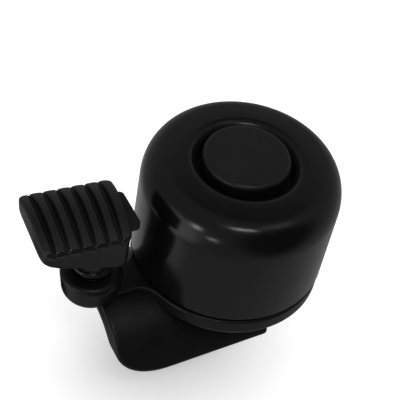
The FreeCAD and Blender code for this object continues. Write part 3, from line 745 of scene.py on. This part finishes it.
def make_camera():
    """Camera above, in front and to the left, rolled as in the photo."""
    a, e, roll = (math.radians(v) for v in (CAMERA_AZIMUTH, CAMERA_ELEVATION, CAMERA_ROLL))
    back = Vector((math.sin(a) * math.cos(e), -math.cos(a) * math.cos(e), math.sin(e)))
    level = Vector((math.cos(a), math.sin(a), 0))
    above = back.cross(level)
    right = level * math.cos(roll) + above * math.sin(roll)
    up = back.cross(right)
    data = bpy.data.cameras.new("camera")
    data.lens = CAMERA_LENS
    data.sensor_width = SENSOR_WIDTH
    data.clip_start = CAMERA_NEAR * MM
    camera = new_object("camera", data)
    turn = Matrix((right, up, back)).transposed().to_4x4()
    camera.matrix_world = Matrix.Translation(CAMERA_TARGET + back * CAMERA_DISTANCE) @ turn
    bpy.context.scene.camera = camera


# ---- studio ----------------------------------------------------------------------
GONG_MIDDLE = Vector((0, 0, 30)) * MM

# Studio walls as soft patches on an even grey: azimuth, elevation, outer and inner angle, added level.
WORLD_LEVEL = 0.29
WORLD_PATCHES = [
    (-76, 8, 50, 24, -0.26),      # dark opening to the right of the camera
    (178, -12, 33, 14, 1.2),      # bright wall on the left
    (94, -46, 20, 8, 0.15),       # pale floor behind the striker
    (47, 62, 23, 6, -0.20),       # dark ceiling behind the object
    (-50, 60, 15, 5, 0.6),        # pale ceiling over the right shoulder
    (136, -51, 13, 5, -0.27),     # shaded floor behind the pad
    (166, -50, 15, 7, 0.22),      # lit floor left of the pad
]

# Lamps: name, azimuth, elevation, distance, width and height, radiance, seen in reflections.
LAMPS = [
    ("overhead", 0, 90, 670, (900, 900), 1.8, False),
    ("window_left", -161, 12, 500, (72, 78), 11.0, True),
    ("window_low", -142, -2, 500, (80, 36), 10.0, True),
    ("window_front", -110, 56, 500, (160, 60), 11.0, True),
]

FLOOR_HALF = 2000.0
FLOOR_GAP = 0.02             # clear of the object's lowest point
FLOOR_GLOW = 0.35
# The card below is painted shade: it puts the shaded floor near the object into the gong's reflections.
CARD_MIDDLE = Vector((-43, 25))
CARD_SIZE = (34.0, 17.0)
CARD_TURN = 150
CARD_ABOVE = 1.0             # above the object's lowest point


def direction(azimuth, elevation):
    """Unit vector from degrees; azimuth 0 is +X and 90 is +Y."""
    a, e = math.radians(azimuth), math.radians(elevation)
    return Vector((math.cos(a) * math.cos(e), math.sin(a) * math.cos(e), math.sin(e)))


def make_world():
    """Even grey surroundings with a few soft brighter and darker patches."""
    world = bpy.data.worlds.new("studio")
    bpy.context.scene.world = world
    world.use_nodes = True
    tree = world.node_tree
    tree.nodes.clear()
    coords = tree.nodes.new("ShaderNodeTexCoord")
    level = None
    for azimuth, elevation, outer, inner, added in WORLD_PATCHES:
        aim = tree.nodes.new("ShaderNodeVectorMath")
        aim.operation = "DOT_PRODUCT"
        aim.inputs[1].default_value = direction(azimuth, elevation)
        tree.links.new(coords.outputs["Generated"], aim.inputs[0])
        edge, full = math.cos(math.radians(outer)), math.cos(math.radians(inner))
        patch = fade_value(tree, aim.outputs["Value"], edge, full, 0.0, added)
        patch.node.interpolation_type = "SMOOTHSTEP"
        total = tree.nodes.new("ShaderNodeMath")
        total.operation = "ADD"
        total.inputs[1].default_value = WORLD_LEVEL
        if level is not None:
            tree.links.new(level, total.inputs[1])
        tree.links.new(patch, total.inputs[0])
        level = total.outputs["Value"]
    background = tree.nodes.new("ShaderNodeBackground")
    background.inputs["Strength"].default_value = 1.0
    tree.links.new(level, background.inputs["Color"])
    output = tree.nodes.new("ShaderNodeOutputWorld")
    tree.links.new(background.outputs["Background"], output.inputs["Surface"])


def stage_sheet(name, corners, specular, cloud_mm, dark, light):
    """Flat matt sheet that belongs to the studio; returns it with its shader."""
    sheet = mesh_from(name, corners, [(0, 1, 2, 3)], smooth=False)
    material, tree, shader, where = new_material(name + "_look")
    shader.inputs["Roughness"].default_value = SHEET_ROUGHNESS
    shader.inputs["Specular IOR Level"].default_value = specular
    tone = noise_colour(tree, noise(tree, where, cloud_mm, detail=2), (dark,) * 3, (light,) * 3)
    tree.links.new(tone, shader.inputs["Base Color"])
    paint(sheet, material)
    return sheet, shader


def make_floor():
    """Pale floor that shines a little; reflections show the world in its place."""
    z = cad_box[0].z / MM - FLOOR_GAP
    half = FLOOR_HALF
    corners = [(-half, -half, z), (half, -half, z), (half, half, z), (-half, half, z)]
    floor, shader = stage_sheet("floor", corners, specular=0.1, cloud_mm=400.0, dark=0.90, light=0.92)
    shader.inputs["Emission Color"].default_value = (1, 1, 1, 1)
    shader.inputs["Emission Strength"].default_value = FLOOR_GLOW
    floor.visible_glossy = False


def make_painted_shade_card():
    """Matt black card over the floor behind the striker, a painted shadow: it stands for the shaded floor
    near the object, and only reflections show it.
    """
    turn = math.radians(CARD_TURN)
    along = Vector((math.cos(turn), math.sin(turn))) * CARD_SIZE[0] / 2
    across = Vector((-math.sin(turn), math.cos(turn))) * CARD_SIZE[1] / 2
    z = cad_box[0].z / MM + CARD_ABOVE
    signs = [(-1, -1), (1, -1), (1, 1), (-1, 1)]
    corners = [(*(CARD_MIDDLE + along * a + across * b), z) for a, b in signs]
    card, _ = stage_sheet("painted_floor_shade", corners, specular=0.0, cloud_mm=20.0, dark=0.008, light=0.012)
    card.visible_camera = False
    card.visible_diffuse = False
    card.visible_shadow = False


def make_lights():
    """Soft rectangular lamps around the gong, all aimed at its middle."""
    for name, azimuth, elevation, distance, size, radiance, reflected in LAMPS:
        width, height = size[0] * MM, size[1] * MM
        data = bpy.data.lights.new(name, "AREA")
        data.shape = "RECTANGLE"
        data.size, data.size_y = width, height
        data.energy = radiance * math.pi * width * height
        lamp = new_object(name, data)
        aim = direction(azimuth, elevation)
        lamp.location = GONG_MIDDLE + aim * distance * MM
        lamp.rotation_euler = (-aim).to_track_quat("-Z", "Y").to_euler()
        lamp.visible_camera = False
        lamp.visible_glossy = reflected


# ---- put together ----------------------------------------------------------------
body_plastic = moulded_plastic("body_plastic_look", tone=(0.0048, 0.0048, 0.0049), roughness=0.33,
                               specular=0.18, grain_mm=0.10, grain_strength=0.16)
pad_plastic = moulded_plastic("pad_plastic_look", tone=(0.0066, 0.0066, 0.0067), roughness=0.36,
                              specular=0.22, grain_mm=0.13, grain_strength=0.24, streaks=0.30, polished=True)
cap_plastic = moulded_plastic("cap_plastic_look", tone=(0.0042, 0.0042, 0.0043), roughness=0.38,
                              specular=0.30, grain_mm=0.09, grain_strength=0.20)
spring_steel = metal("spring_steel_look", dark=(0.010, 0.010, 0.011), light=(0.020, 0.020, 0.021),
                     roughness=0.26, stretch=(1, 1, 4))

looks = {
    "black_plastic": body_plastic,
    "gong_paint": gong_paint(),
    "black_rubber": soft_rubber(),
    "steel": metal("steel_look", dark=(0.48, 0.48, 0.49), light=(0.62, 0.62, 0.63),
                   roughness=0.22, stretch=(1, 1, 4)),
    "spring_steel": spring_steel,
    "aluminium": metal("aluminium_look", dark=(0.66, 0.66, 0.67), light=(0.78, 0.78, 0.79),
                       roughness=0.28, stretch=(0.1, 0.1, 4)),
    "brass": metal("brass_look", dark=(0.55, 0.40, 0.16), light=(0.70, 0.54, 0.26),
                   roughness=0.25, stretch=(0.1, 0.1, 4)),
}
for part in frame["record"]["subparts"]:
    paint(frame["nodes"][part["node"]], looks[part["material_slot"]])

make_camera()
paint(make_gong(), looks["gong_paint"])
paint(make_cap(), cap_plastic)
paint(make_block(), pad_plastic)
paint(make_spring(), spring_steel)

make_world()
make_floor()
make_painted_shade_card()
make_lights()
bpy.context.scene.view_settings.view_transform = "Standard"
